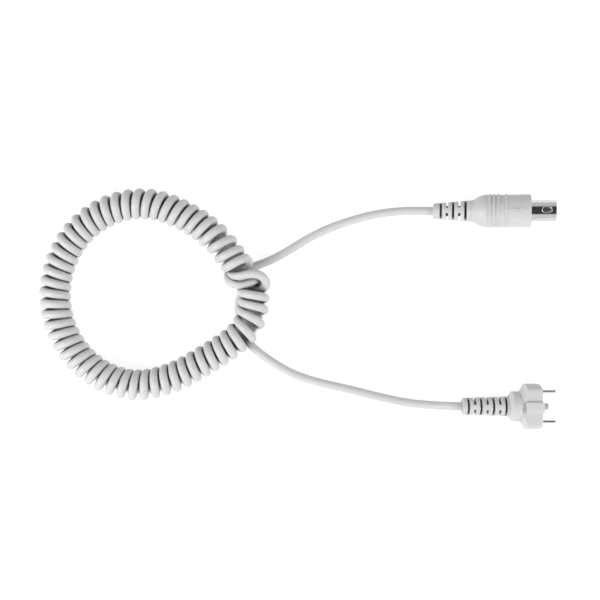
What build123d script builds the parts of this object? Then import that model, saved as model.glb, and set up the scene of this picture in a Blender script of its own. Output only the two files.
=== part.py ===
from build123d import *
import math
import os

# Curly cord set of a dental micromotor handpiece, lying on a table.  Millimetres, +Z up.
# The origin is the middle of the two plugs' footprint.  Both plugs point along +X: the round DIN
# plug on the +Y side, the two-pin motor plug on the -Y side, and the curled loop lies towards -X.
# Every plug piece is drawn on a local X axis that starts at the tail of its strain-relief boot.

# Cord
CORD_D = 5.2
CORD_FIT = 0.05             # radial room between the cord and a part that it passes through
COIL_MEAN_D = 14.0          # helix diameter at the middle of the cord
BEND = 0.45                 # share of the shorter run that each arc of a route takes
CORE_D = 1.3                # insulated conductors inside the jacket
CORE_OFFSET = 0.8           # conductors' distance from the cord's middle
FLEX_GAP = 1.0              # the cord stops this far each side of a boot's flex axis

# DIN plug, along its axis
DIN_TAIL_XY = (-37.4, 62.94)
DIN_YAW = -0.8
DIN_BOOT_TAIL_D = 9.6
DIN_BOOT_NECK_D = 13.3
DIN_BOOT_LENGTH = 23.5
DIN_SLOT_FIRST = 4.75
DIN_SLOT_PITCH = 3.78
DIN_SLOT_COUNT = 5
DIN_FLEX_X = 11.2
DIN_GRIP_START = 28.6
DIN_GRIP_D = 20.3
DIN_GRIP_END = 59.2
DIN_RIDGES = (34.4, 37.0, 39.8, 44.4)
DIN_RIDGE_W = 1.3
DIN_RIDGE_H = 0.35
DIN_ARROW_START = 47.2
DIN_ARROW_LENGTH = 9.4
DIN_ARROW_W = 1.6
DIN_ARROW_H = 0.3
DIN_SHELL_D = 13.2
DIN_SHELL_WALL = 0.5
DIN_SHELL_REACH = 15.0      # bare length in front of the cover
DIN_SHELL_HELD = 10.5       # length inside the cover
DIN_SHELL_DRAW = 0.2         # how far the held part of the shell is drawn in
DIN_SHELL_REAR_D = DIN_SHELL_D - 2 * DIN_SHELL_DRAW
DIN_PORT_LENGTH = 5.6       # oval latch port in the top of the shell
DIN_PORT_W = 3.2
DIN_PORT_FROM_MOUTH = 2.9
DIN_KEY_D = 2.2             # dent along the bottom of the shell that keys the plug
DIN_CAN_WALL = 0.5
DIN_CAN_START = 31.0
DIN_CAN_SPLIT = 0.3
DIN_FACE_DEPTH = 11.7       # insulator's face below the shell's mouth
DIN_INSULATOR_LENGTH = 12.0
DIN_PIN_D = 1.45
DIN_PIN_CIRCLE_D = 7.0
DIN_PIN_ANGLES = (0.0, -90.0, 180.0)
DIN_PIN_BELOW_MOUTH = 1.7
DIN_PIN_TAIL = 4.5          # solder end behind the insulator
DIN_CRIMP_LENGTH = 4.5
DIN_CRIMP_WALL = 0.8

# Motor plug, along its axis
MOTOR_TAIL_XY = (-20.2, -58.8)
MOTOR_BOOT_TAIL_D = 10.5
MOTOR_BOOT_NECK_D = 12.3
MOTOR_BOOT_LENGTH = 28.6
MOTOR_SLOT_FIRST = 3.4
MOTOR_SLOT_PITCH = 3.86
MOTOR_SLOT_COUNT = 7
MOTOR_FLEX_X = 13.1
MOTOR_COLLAR_D = 18.6
MOTOR_COLLAR_START = 30.7
MOTOR_COLLAR_END = 35.7
MOTOR_SHOULDER_D = 23.0
MOTOR_SHOULDER_X = 37.6
MOTOR_HEAD_W = 28.3
MOTOR_HEAD_START = 38.7
MOTOR_HEAD_END = 48.3
MOTOR_HEAD_ROUND = 2.4
MOTOR_FLAT_T = 16.8         # thickness across the head's two flats
MOTOR_RIB_W = 7.2
MOTOR_RIB_START = 37.9
MOTOR_RIB_END = 48.9
MOTOR_RIB_H = 1.4
MOTOR_RIB_CORNER = 1.0
MOTOR_WALL = 2.0
MOTOR_CARRIER_T = 5.0
MOTOR_CARRIER_W = 22.4
MOTOR_POST_D = 3.9
MOTOR_POST_REACH = 4.9
MOTOR_PIN_D = 2.2
MOTOR_PIN_REACH = 10.2
MOTOR_PIN_SPACING = 18.8
MOTOR_PIN_TAIL = 1.6
MOTOR_PIN_ROOT_D = 2.6      # the pins' thicker root inside the carrier
MOTOR_WIRE_ROOM = 3.2       # open length behind the pins' solder ends
MOTOR_CLAMP_LENGTH = 3.0

# Boots and fits that both plugs share
SLOT_W = 1.3
SLOT_WEB = 34.0             # degrees of wall left on each side of a slot
SPIGOT_LENGTH = 4.0
SPIGOT_STEP = 1.2           # a boot's spigot is this much smaller in radius than its neck
FIT = 0.05                  # radial room between pieces pushed into each other
PIECE_GAP = 0.05            # room between faces that butt
RIM_ROUND = 0.4

# Routes, chosen by hand.  Each lead lies on the table at its own radius, then reaches its boot.
REST = CORD_D / 2
DIN_LEAD = [(-72, 62.4, REST), (-92, 53.9, REST), (-112, 46, REST), (-131, 36, REST),
            (-145, 28.3, 4.5), (-152, 19, 12)]
MOTOR_LEAD = [(-45, -58.7, REST), (-64, -54.8, REST), (-86, -49.2, REST), (-108, -42.6, REST),
              (-129, -35.2, REST), (-146, -25, REST), (-156.5, -12, REST), (-159.5, 4, REST),
              (-160, 20, 4), (-164, 30, 10)]
MOTOR_LEAD_LEVEL = 6.7      # straight run behind the motor plug's boot before the lead drops
COIL_REST = (COIL_MEAN_D + CORD_D) / 2
COIL = [(-151, 24, 15.6), (-149.5, 0.5, 15.6), (-162, -18, 15.2), (-181.8, -31.3, 10.4),
        (-201, -41.7, COIL_REST), (-222.7, -46.7, COIL_REST), (-244.2, -40.6, COIL_REST),
        (-260.9, -26.2, COIL_REST), (-271.4, -6.9, COIL_REST), (-273.8, 15, COIL_REST),
        (-268, 36.3, COIL_REST), (-254.8, 54.1, COIL_REST), (-235.5, 65.1, COIL_REST),
        (-213.4, 67.5, COIL_REST), (-193, 58.7, COIL_REST), (-175.5, 46, 13),
        (-160.4, 27, 15.6)]


# Shapes -----------------------------------------------------------------------------------------

def along_x(profile):
    """Turn a profile of (x, radius) points about the X axis into a solid."""
    return revolve(make_face(Polyline(*profile, close=True)), Axis.X)


def rod(diameter, start, end, y=0.0, z=0.0):
    """A round rod along X from start to end."""
    disc = Plane(origin=(start, y, z), x_dir=(0, 1, 0), z_dir=(1, 0, 0)) * Circle(diameter / 2)
    return extrude(disc, end - start)


def sleeve(outer_d, bore_d, start, end):
    """A plain tube along X."""
    return rod(outer_d, start, end) - rod(bore_d, start - 1, end + 1)


def route_radii(points):
    """The arc radius at each inner point of a route."""
    radii = []
    for before, here, after in zip(points, points[1:], points[2:]):
        arriving = Vector(*here) - Vector(*before)
        leaving = Vector(*after) - Vector(*here)
        half_turn = math.radians(arriving.get_angle(leaving)) / 2
        radii.append(BEND * min(arriving.length, leaving.length) / math.tan(half_turn))
    return radii


def tube(points, diameter):
    """A round tube along straight runs joined by tangent arcs."""
    path = FilletPolyline(*points, radius=route_radii(points))
    start = Plane(origin=path @ 0, z_dir=path % 0)
    return sweep(start * Circle(diameter / 2), path=path), path.length


def wedge(start, length, reach, facing):
    """A V-shaped block on the X axis, open by a slot's web, that faces up, down or to a side."""
    half = reach * math.tan(math.radians(SLOT_WEB / 2))
    corners = [(0, 0), (reach, half), (reach, -half)]
    face = Plane(origin=(start, 0, 0), x_dir=(0, 1, 0), z_dir=(1, 0, 0)) * Rot(0, 0, facing)
    return extrude(face * make_face(Polyline(*corners, close=True)), length)


# Strain-relief boots ----------------------------------------------------------------------------

def boot(tail_d, neck_d, length, first_slot, slot_pitch, slot_count):
    """A tapered boot with a spigot, cut by slots whose webs alternate side and top."""
    tail_r, neck_r = tail_d / 2, neck_d / 2
    spigot_r = neck_r - SPIGOT_STEP
    body = along_x([(0, 0), (0, tail_r - RIM_ROUND), (RIM_ROUND, tail_r), (length, neck_r),
                    (length, spigot_r), (length + SPIGOT_LENGTH, spigot_r),
                    (length + SPIGOT_LENGTH, 0)])
    for number in range(slot_count):
        start = first_slot + number * slot_pitch - SLOT_W / 2
        slot = rod(2 * neck_d, start, start + SLOT_W)
        sideways = 0 if number % 2 == 0 else 90
        for facing in (sideways, sideways + 180):
            slot -= wedge(start - 1, SLOT_W + 2, 2 * neck_d, facing)
        body -= slot
    return body - rod(CORD_D + 2 * CORD_FIT, -1, length + SPIGOT_LENGTH + 1)


def conductors(start, ends, name):
    """The cord's conductors from the cut jacket to each (x, y, z) solder end."""
    cores = {}
    for number, (x, y, z) in enumerate(ends, start=1):
        side = math.copysign(CORE_OFFSET, y)
        third = (x - start) / 3
        points = [(start, side, 0), (start + third, side, 0), (x - third, y, z), (x, y, z)]
        cores[f"{name}_core_{number}"] = tube(points, CORE_D)[0]
    return cores


# DIN plug ---------------------------------------------------------------------------------------

DIN_MOUTH = DIN_GRIP_END + DIN_SHELL_REACH
DIN_FACE = DIN_MOUTH - DIN_FACE_DEPTH
DIN_SHELL_START = DIN_GRIP_END - DIN_SHELL_HELD
DIN_SHOULDER = DIN_GRIP_END + PIECE_GAP
DIN_CAN_BORE_D = DIN_SHELL_REAR_D + 2 * FIT
DIN_CAN_D = DIN_CAN_BORE_D + 2 * DIN_CAN_WALL
DIN_CAN_END = DIN_SHELL_START + DIN_SHELL_HELD / 2
DIN_PIN_START = DIN_FACE - DIN_INSULATOR_LENGTH - DIN_PIN_TAIL


def din_cover():
    """The moulded grip with its flare, four raised ridges and the raised alignment arrow."""
    grip_r, neck_r = DIN_GRIP_D / 2, DIN_BOOT_NECK_D / 2
    flare_x = (DIN_BOOT_LENGTH + DIN_GRIP_START) / 2
    spigot_r = neck_r - SPIGOT_STEP + FIT
    spigot_end = DIN_BOOT_LENGTH + SPIGOT_LENGTH + PIECE_GAP
    can_r = DIN_CAN_D / 2 + FIT
    cover = along_x([(DIN_BOOT_LENGTH + PIECE_GAP, spigot_r), (DIN_BOOT_LENGTH + PIECE_GAP, neck_r),
                     (flare_x, (neck_r + grip_r) / 2), (DIN_GRIP_START, grip_r - RIM_ROUND),
                     (DIN_GRIP_START + 2 * RIM_ROUND, grip_r), (DIN_GRIP_END - RIM_ROUND, grip_r),
                     (DIN_GRIP_END, grip_r - RIM_ROUND), (DIN_GRIP_END, DIN_CAN_BORE_D / 2),
                     (DIN_CAN_END + PIECE_GAP, DIN_CAN_BORE_D / 2),
                     (DIN_CAN_END + PIECE_GAP, can_r), (spigot_end, can_r),
                     (spigot_end, spigot_r)])
    for ridge_x in DIN_RIDGES:
        start, end = ridge_x - DIN_RIDGE_W / 2, ridge_x + DIN_RIDGE_W / 2
        top = grip_r + DIN_RIDGE_H
        cover += along_x([(start, grip_r - 1), (start, grip_r), (ridge_x - DIN_RIDGE_W / 4, top),
                          (ridge_x + DIN_RIDGE_W / 4, top), (end, grip_r), (end, grip_r - 1)])
    return cover + din_arrow(grip_r)


def din_arrow(grip_r):
    """The raised arrow that shows which way up the plug goes in."""
    shaft_end = DIN_ARROW_START + 0.55 * DIN_ARROW_LENGTH
    tip = DIN_ARROW_START + DIN_ARROW_LENGTH
    half, barb = DIN_ARROW_W / 4, DIN_ARROW_W
    outline = [(DIN_ARROW_START, half), (shaft_end, half), (shaft_end, barb), (tip, 0),
               (shaft_end, -barb), (shaft_end, -half), (DIN_ARROW_START, -half)]
    arrow = extrude(Pos(0, 0, grip_r - 1) * make_face(Polyline(*outline, close=True)), 2)
    return arrow & rod(2 * (grip_r + DIN_ARROW_H), DIN_ARROW_START, tip)


def din_shell():
    """The drawn metal shell with its shoulder, oval latch port and key dent along the bottom."""
    bore_d = DIN_SHELL_D - 2 * DIN_SHELL_WALL
    shell = sleeve(DIN_SHELL_REAR_D, bore_d, DIN_SHELL_START, DIN_SHOULDER + 1)
    shell += sleeve(DIN_SHELL_D, bore_d, DIN_SHOULDER, DIN_MOUTH)
    port_x = DIN_MOUTH - DIN_PORT_FROM_MOUTH - DIN_PORT_LENGTH / 2
    port = Pos(port_x, 0, 0) * SlotOverall(DIN_PORT_LENGTH, DIN_PORT_W)
    shell -= extrude(port, DIN_SHELL_D)
    key_z = -DIN_SHELL_D / 2
    shell -= rod(DIN_KEY_D, DIN_GRIP_END + 1, DIN_MOUTH + 1, z=key_z)
    dent = sleeve_at(DIN_KEY_D + 2 * DIN_SHELL_WALL, DIN_KEY_D, DIN_GRIP_END + 1, DIN_MOUTH, key_z)
    return shell + (dent & rod(DIN_SHELL_D - DIN_SHELL_WALL, DIN_GRIP_END, DIN_MOUTH))


def sleeve_at(outer_d, bore_d, start, end, z):
    """A plain tube parallel to X at height z."""
    return rod(outer_d, start, end, z=z) - rod(bore_d, start - 1, end + 1, z=z)


def din_can_halves():
    """The two pressed half shells that hold the insulator and the shell's rear."""
    can = sleeve(DIN_CAN_D, DIN_CAN_BORE_D, DIN_CAN_START, DIN_CAN_END)
    reach = DIN_CAN_END - DIN_CAN_START
    middle = DIN_CAN_START + reach / 2
    saw = Pos(middle, 0, 0) * Box(reach + 2, 2 * DIN_CAN_D, DIN_CAN_SPLIT)
    upper = Pos(middle, 0, DIN_CAN_D) * Box(reach + 2, 2 * DIN_CAN_D, 2 * DIN_CAN_D)
    can -= saw
    return {"din_can_upper": can & upper, "din_can_lower": can - upper}


def din_pin_places():
    """Where each pin stands round the plug's axis, as (y, z)."""
    ring = DIN_PIN_CIRCLE_D / 2
    return [(ring * math.cos(math.radians(a)), ring * math.sin(math.radians(a)))
            for a in DIN_PIN_ANGLES]


def din_insulator():
    """The moulded disc that carries the pins, with a groove for the key dent."""
    bore_d = DIN_SHELL_D - 2 * DIN_SHELL_WALL
    start = DIN_FACE - DIN_INSULATOR_LENGTH
    insulator = rod(bore_d - 2 * FIT, start, DIN_FACE)
    key_d = DIN_KEY_D + 2 * DIN_SHELL_WALL + 2 * FIT
    insulator -= rod(key_d, DIN_GRIP_END + 1 - FIT, DIN_FACE + 1, z=-DIN_SHELL_D / 2)
    for y, z in din_pin_places():
        insulator -= rod(DIN_PIN_D + 2 * FIT, start - 1, DIN_FACE + 1, y, z)
    return insulator


def din_pins():
    """The contact pins, rounded at the tip and open to the wires behind the insulator."""
    pins = {}
    for number, (y, z) in enumerate(din_pin_places(), start=1):
        pin = rod(DIN_PIN_D, DIN_PIN_START, DIN_MOUTH - DIN_PIN_BELOW_MOUTH, y, z)
        tip = pin.edges().sort_by(Axis.X)[-1]
        pins[f"din_pin_{number}"] = fillet(tip, DIN_PIN_D / 3)
    return pins


def din_plug():
    """Every piece of the DIN plug on its local axis."""
    cord_start = DIN_FLEX_X + FLEX_GAP
    crimp_end = DIN_CAN_START + DIN_CRIMP_LENGTH
    ends = [(DIN_PIN_START - PIECE_GAP, y, z) for y, z in din_pin_places() if z > -1]
    pieces = {
        "din_boot": boot(DIN_BOOT_TAIL_D, DIN_BOOT_NECK_D, DIN_BOOT_LENGTH, DIN_SLOT_FIRST,
                         DIN_SLOT_PITCH, DIN_SLOT_COUNT),
        "din_cover": din_cover(),
        "din_shell": din_shell(),
        "din_insulator": din_insulator(),
        "din_cord_crimp": sleeve(CORD_D + 2 * (CORD_FIT + DIN_CRIMP_WALL), CORD_D + 2 * CORD_FIT,
                                 DIN_CAN_START, crimp_end),
        "din_cord_end": rod(CORD_D, cord_start, crimp_end),
    }
    pieces.update(din_can_halves())
    pieces.update(din_pins())
    pieces.update(conductors(crimp_end + PIECE_GAP, ends, "din"))
    return pieces


# Motor plug -------------------------------------------------------------------------------------

MOTOR_CARRIER_START = MOTOR_HEAD_END - MOTOR_CARRIER_T
MOTOR_PIN_START = MOTOR_CARRIER_START - MOTOR_PIN_TAIL
MOTOR_CLAMP_START = MOTOR_BOOT_LENGTH + SPIGOT_LENGTH + PIECE_GAP
MOTOR_CAVITY_D = MOTOR_COLLAR_D - 2 * MOTOR_WALL


def flatted(solid):
    """Trim a round solid to the head's two flats."""
    return solid & Pos(MOTOR_HEAD_END, 0, 0) * Box(4 * MOTOR_HEAD_END, 2 * MOTOR_HEAD_W, MOTOR_FLAT_T)


def motor_rib():
    """The key rib that stands on the upper flat and reaches past the front face."""
    corner = MOTOR_RIB_CORNER
    half = MOTOR_RIB_W / 2
    outline = [(MOTOR_RIB_START, -half), (MOTOR_RIB_END - corner, -half),
               (MOTOR_RIB_END, corner - half), (MOTOR_RIB_END, half - corner),
               (MOTOR_RIB_END - corner, half), (MOTOR_RIB_START, half)]
    base = MOTOR_FLAT_T / 2 - MOTOR_WALL
    rib = Pos(0, 0, base) * make_face(Polyline(*outline, close=True))
    return extrude(rib, MOTOR_WALL + MOTOR_RIB_H)


def motor_housing():
    """The moulded collar, stepped shoulder and flat-sided head, hollow from the front."""
    neck_r, collar_r = MOTOR_BOOT_NECK_D / 2, MOTOR_COLLAR_D / 2
    shoulder_r, head_r = MOTOR_SHOULDER_D / 2, MOTOR_HEAD_W / 2
    start = MOTOR_BOOT_LENGTH + PIECE_GAP
    collar = along_x([(start, 0), (start, neck_r + RIM_ROUND), (MOTOR_COLLAR_START, collar_r),
                      (MOTOR_COLLAR_END, collar_r), (MOTOR_COLLAR_END, 0)])
    head = along_x([(MOTOR_COLLAR_END, 0), (MOTOR_COLLAR_END, collar_r + RIM_ROUND),
                    (MOTOR_SHOULDER_X - RIM_ROUND, shoulder_r - RIM_ROUND),
                    (MOTOR_SHOULDER_X, shoulder_r), (MOTOR_HEAD_START, head_r),
                    (MOTOR_HEAD_END, head_r), (MOTOR_HEAD_END, 0)])
    front_rim = head.edges().filter_by(GeomType.CIRCLE).sort_by(Axis.X)[-1]
    housing = collar + flatted(fillet(front_rim, MOTOR_HEAD_ROUND)) + motor_rib()
    housing -= rod(2 * (neck_r - SPIGOT_STEP + FIT), start - 1, MOTOR_CLAMP_START)
    housing -= rod(MOTOR_CAVITY_D, MOTOR_CLAMP_START - PIECE_GAP, MOTOR_CARRIER_START)
    return housing - motor_block(MOTOR_CARRIER_W, MOTOR_PIN_START - MOTOR_WIRE_ROOM,
                                 MOTOR_HEAD_END + 1)


def motor_block(width, start, end):
    """A flat-sided round block that follows the head's own outline one wall further in."""
    thickness = MOTOR_FLAT_T - 2 * MOTOR_WALL + width - MOTOR_CARRIER_W
    return rod(width, start, end) & Pos(end, 0, 0) * Box(4 * end, MOTOR_HEAD_W, thickness)


def motor_carrier():
    """The insulating block in the head's mouth, with the centre post that guides the plug in."""
    block = motor_block(MOTOR_CARRIER_W - 2 * FIT, MOTOR_CARRIER_START, MOTOR_HEAD_END)
    block += rod(MOTOR_POST_D, MOTOR_HEAD_END - 1, MOTOR_HEAD_END + MOTOR_POST_REACH)
    for side in (1, -1):
        block -= rod(MOTOR_PIN_ROOT_D + 2 * FIT, MOTOR_CARRIER_START - 1, MOTOR_HEAD_END + 1,
                     side * MOTOR_PIN_SPACING / 2)
    return block


def motor_plug():
    """Every piece of the motor plug on its local axis."""
    clamp_end = MOTOR_CLAMP_START + MOTOR_CLAMP_LENGTH
    side = MOTOR_PIN_SPACING / 2
    ends = [(MOTOR_PIN_START - PIECE_GAP, side, 0), (MOTOR_PIN_START - PIECE_GAP, -side, 0)]
    pieces = {
        "motor_boot": boot(MOTOR_BOOT_TAIL_D, MOTOR_BOOT_NECK_D, MOTOR_BOOT_LENGTH,
                           MOTOR_SLOT_FIRST, MOTOR_SLOT_PITCH, MOTOR_SLOT_COUNT),
        "motor_housing": motor_housing(),
        "motor_carrier": motor_carrier(),
        "motor_cord_clamp": sleeve(MOTOR_CAVITY_D - 2 * FIT, CORD_D + 2 * CORD_FIT,
                                   MOTOR_CLAMP_START, clamp_end),
        "motor_cord_end": rod(CORD_D, MOTOR_FLEX_X + FLEX_GAP, clamp_end),
    }
    for name, y in (("motor_pin_upper", side), ("motor_pin_lower", -side)):
        pin = rod(MOTOR_PIN_D, MOTOR_PIN_START, MOTOR_HEAD_END + MOTOR_PIN_REACH, y)
        pin = fillet(pin.edges().sort_by(Axis.X)[-1], MOTOR_PIN_D / 3)
        pieces[name] = pin + rod(MOTOR_PIN_ROOT_D, MOTOR_PIN_START, MOTOR_HEAD_END, y)
    pieces.update(conductors(clamp_end + PIECE_GAP, ends, "motor"))
    return pieces


# Placing and writing ----------------------------------------------------------------------------

def on_axis(place, x):
    """The point at x along a placed plug's axis."""
    return (place * Pos(x, 0, 0)).position


def set_down(pieces, place):
    """Lower or raise a placed plug until its lowest point is on the table."""
    low = min((place * piece).bounding_box().min.Z for piece in pieces.values())
    return Pos(0, 0, -low) * place


def main():
    """Build every piece in the row frame and write one file for each."""
    os.makedirs("parts", exist_ok=True)
    din_pitch = math.degrees(math.atan2((DIN_GRIP_D - DIN_BOOT_TAIL_D) / 2, DIN_GRIP_START))
    din, motor = din_plug(), motor_plug()
    din_place = set_down(din, Pos(*DIN_TAIL_XY, 0) * Rot(0, 0, DIN_YAW) * Rot(0, -din_pitch, 0))
    motor_place = set_down(motor, Pos(*MOTOR_TAIL_XY, 0))

    din_start = on_axis(din_place, DIN_FLEX_X - FLEX_GAP)
    din_tail = on_axis(din_place, 0)
    slope = (din_start.Z - din_tail.Z) / (din_start - din_tail).length
    landing = on_axis(din_place, -(din_tail.Z - REST) / slope)
    motor_start = on_axis(motor_place, MOTOR_FLEX_X - FLEX_GAP)
    motor_level = on_axis(motor_place, -MOTOR_LEAD_LEVEL)
    routes = {
        "din_lead": [tuple(din_start), tuple(landing)] + DIN_LEAD,
        "motor_lead": [tuple(motor_start), tuple(motor_level)] + MOTOR_LEAD,
    }
    pieces = {name: din_place * piece for name, piece in din.items()}
    pieces.update({name: motor_place * piece for name, piece in motor.items()})
    for name, points in routes.items():
        pieces[name], length = tube(points, CORD_D)
        report_tube(name, points, pieces[name], CORD_D, length)
    pieces["coil"], length = tube(COIL, COIL_MEAN_D + CORD_D)
    report_tube("coil", COIL, pieces["coil"], COIL_MEAN_D + CORD_D, length)

    print("din flex axis", on_axis(din_place, DIN_FLEX_X), "pitch", round(din_pitch, 3))
    print("din shell middle", on_axis(din_place, DIN_MOUTH - DIN_SHELL_REACH / 2))
    print("motor flex axis", on_axis(motor_place, MOTOR_FLEX_X))
    for name, piece in pieces.items():
        piece.label = name
        export_step(piece, f"parts/{name}.step")


def report_tube(name, points, solid, diameter, length):
    """Print a tube's arc radii and how its volume compares with its section times its length."""
    section = math.pi * diameter ** 2 / 4
    print(name, "points", [tuple(round(value, 2) for value in point) for point in points])
    print(name, "radii", [round(radius, 1) for radius in route_radii(points)],
          "length", round(length, 1), "volume ratio", round(solid.volume / (section * length), 5))


main()
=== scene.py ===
"""Curly cord set of a dental micromotor: a DIN plug, a two-pin motor plug and their curled cord."""

import logging
import math
from dataclasses import dataclass
from enum import Enum
from typing import Any, Callable, Optional, Sequence, Union

import bmesh
import bpy
import numpy as np
from mathutils import Matrix, Vector


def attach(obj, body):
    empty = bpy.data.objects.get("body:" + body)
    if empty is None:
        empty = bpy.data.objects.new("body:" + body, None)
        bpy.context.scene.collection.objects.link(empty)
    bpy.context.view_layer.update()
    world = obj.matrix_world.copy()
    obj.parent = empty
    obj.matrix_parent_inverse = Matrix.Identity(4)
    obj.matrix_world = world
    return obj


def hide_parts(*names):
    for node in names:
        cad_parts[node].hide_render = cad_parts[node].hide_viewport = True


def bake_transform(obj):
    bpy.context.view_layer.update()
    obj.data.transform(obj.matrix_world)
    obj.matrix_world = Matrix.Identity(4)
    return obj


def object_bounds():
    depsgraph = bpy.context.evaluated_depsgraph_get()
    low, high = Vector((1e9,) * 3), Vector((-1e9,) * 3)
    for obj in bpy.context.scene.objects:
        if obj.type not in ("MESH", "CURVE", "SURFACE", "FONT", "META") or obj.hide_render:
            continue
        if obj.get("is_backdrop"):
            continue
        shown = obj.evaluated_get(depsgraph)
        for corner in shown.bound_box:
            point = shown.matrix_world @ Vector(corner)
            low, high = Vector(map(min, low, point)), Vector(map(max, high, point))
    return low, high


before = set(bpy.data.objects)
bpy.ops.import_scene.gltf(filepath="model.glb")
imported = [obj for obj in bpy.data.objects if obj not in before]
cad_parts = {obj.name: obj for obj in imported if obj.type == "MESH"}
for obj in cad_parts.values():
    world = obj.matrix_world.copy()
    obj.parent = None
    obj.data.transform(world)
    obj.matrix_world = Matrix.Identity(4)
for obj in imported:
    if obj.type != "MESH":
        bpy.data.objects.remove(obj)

log = logging.getLogger("cord_set")
MM = 0.001
Point = tuple[float, float, float]
Profile = list[tuple[float, float]]
Stops = Sequence[tuple[float, float]]
Piece = bpy.types.Object
Radius = Callable[[float], float]
COLOUR_A, COLOUR_B, MIXED_COLOUR = 6, 7, 2  # numbers of a Mix node's colour sockets


# Shader expressions

class Socket:
    """A node's output, which adds Math nodes when it is used in an expression."""

    def __init__(self, board: "Board", link: bpy.types.NodeSocket) -> None:
        """Wrap one output of a board's node."""
        self.board = board
        self.link = link

    def _math(self, operation: str, first: "Value", second: "Value") -> "Socket":
        """Add one Math node for two operands."""
        return self.board.node("Math", {"operation": operation}, {0: first, 1: second})

    def __add__(self, other: "Value") -> "Socket":
        """self + other."""
        return self._math("ADD", self, other)

    __radd__ = __add__

    def __mul__(self, other: "Value") -> "Socket":
        """self * other."""
        return self._math("MULTIPLY", self, other)

    def __sub__(self, other: "Value") -> "Socket":
        """self - other."""
        return self._math("SUBTRACT", self, other)


Value = Union[Socket, float, Sequence[float]]


class Board:
    """The node tree of one material, with its shader's inputs to fill in."""

    def __init__(self, name: str) -> None:
        """Start a material with an empty Principled shader."""
        self.material = bpy.data.materials.new(name)
        self.material.use_nodes = True
        self.tree = self.material.node_tree
        self.tree.nodes.clear()
        self.shader = self.tree.nodes.new("ShaderNodeBsdfPrincipled")
        output = self.tree.nodes.new("ShaderNodeOutputMaterial")
        self.tree.links.new(self.shader.outputs["BSDF"], output.inputs["Surface"])

    def _feed(self, entry: bpy.types.NodeSocket, value: Value) -> None:
        """Link a socket or set a plain value on an input."""
        if isinstance(value, Socket):
            self.tree.links.new(value.link, entry)
        else:
            entry.default_value = value

    def node(self, kind: str, settings: dict[str, Any], inputs: dict[Any, Value],
             output: Union[int, str] = 0) -> Socket:
        """Add a node.

        Args:
            kind: The node's type name, less "ShaderNode".
            settings: Properties to set first.
            inputs: Values or sockets for its inputs, by name or number.
            output: Which of its outputs is wanted.

        Returns:
            The wanted output.
        """
        made = self.tree.nodes.new("ShaderNode" + kind)
        for key, value in settings.items():
            setattr(made, key, value)
        for key, value in inputs.items():
            self._feed(made.inputs[key], value)
        return Socket(self, made.outputs[output])

    def set(self, **values: Value) -> None:
        """Fill in the shader's inputs; an underscore stands for a space."""
        for key, value in values.items():
            self._feed(self.shader.inputs[key.replace("_", " ")], value)

    def place(self) -> Socket:
        """The point on the piece, in metres."""
        return self.node("TexCoord", {}, {}, "Object")

    def noise(self, per_metre: float, detail: float = 2.0, roughness: float = 0.5,
              stretch: Optional[Sequence[float]] = None) -> Socket:
        """Noise between 0 and 1 at so many features per metre, stretched along an axis if asked."""
        where = self.place()
        if stretch is not None:
            where = self.node("Mapping", {}, {"Vector": where, "Scale": stretch})
        return self.node("TexNoise", {},
                         {"Vector": where, "Scale": per_metre, "Detail": detail,
                          "Roughness": roughness})

    def ramp(self, value: Socket, stops: Stops) -> Socket:
        """Map a value through a ramp with two stops, each a position and a grey."""
        mapped = self.node("ValToRGB", {}, {"Fac": value})
        for element, (position, grey) in zip(mapped.link.node.color_ramp.elements, stops):
            element.position = position
            element.color = (grey, grey, grey, 1.0)
        return mapped

    def mix(self, amount: Value, base: Value, other: Value) -> Socket:
        """Mix a colour into another by an amount."""
        return self.node("Mix", {"data_type": "RGBA", "blend_type": "MIX"},
                         {"Factor": amount, COLOUR_A: base, COLOUR_B: other}, MIXED_COLOUR)

    def tint(self, amount: Value, dark: Sequence[float], light: Sequence[float]) -> Socket:
        """Mix two plain colours by an amount."""
        return self.mix(amount, (*dark, 1.0), (*light, 1.0))

    def grey_over(self, amount: Value, base: Socket, grey: float) -> Socket:
        """Mix a plain grey into a colour by an amount."""
        return self.mix(amount, base, (grey, grey, grey, 1.0))

    def bump(self, height: Socket, distance: float) -> None:
        """Roughen the surface by a height in units of the distance."""
        self.set(Normal=self.node("Bump", {}, {
            "Height": height, "Distance": distance, "Strength": 1.0}))

    def edge_wear(self, sharp: float = 0.57) -> Socket:
        """How much of an outer edge a point is on, between 0 and 1."""
        pointiness = self.node("NewGeometry", {}, {}, "Pointiness")
        return self.ramp(pointiness, [(0.5, 0.0), (sharp, 1.0)])


# Finishes

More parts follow.
